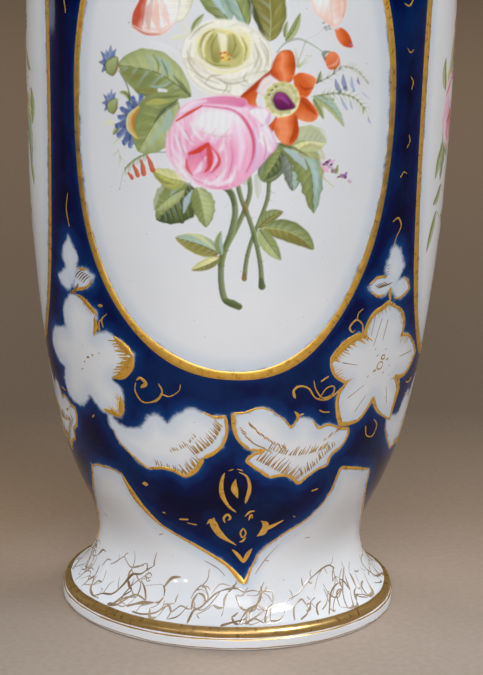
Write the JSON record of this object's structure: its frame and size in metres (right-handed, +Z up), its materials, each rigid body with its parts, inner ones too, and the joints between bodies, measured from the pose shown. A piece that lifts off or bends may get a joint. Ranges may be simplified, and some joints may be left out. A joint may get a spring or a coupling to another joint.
{
  "type": "porcelain vase",
  "caption": "Tall baluster vase on a spreading foot, with a waisted neck and flaring lip; cobalt ground, white flower panels and gilding.",
  "frame": {"origin": "middle of the foot's base, on the surface that the vase stands on", "axes": "+Z up along the vase's axis, the main flower panel faces -Y, +X to the right as one looks at that panel"},
  "size_m": [0.1524, 0.1524, 0.395],
  "materials": {
    "white_glaze": "clear glossy glaze over white hard-paste porcelain, a faint grey-lilac tone",
    "cobalt_glaze": "deep underglaze cobalt blue under a glossy clear glaze, bleeding a little paler at its edges",
    "biscuit": "unglazed fired porcelain slip, matt",
    "gilding": "burnished gold fired on the glaze, a little rubbed at raised edges",
    "enamel": "flowers and leaves in fired overglaze enamels on the white glaze, glossy"
  },
  "bodies": {
    "root": {"foot": "white_glaze", "lower_body": "cobalt_glaze", "upper_body": "cobalt_glaze", "neck": "white_glaze", "lip": "white_glaze", "waist_slip_ring": "biscuit", "belly_slip_ring": "biscuit", "shoulder_slip_ring": "biscuit", "collar_slip_ring": "biscuit"}
  },
  "joints": []
}
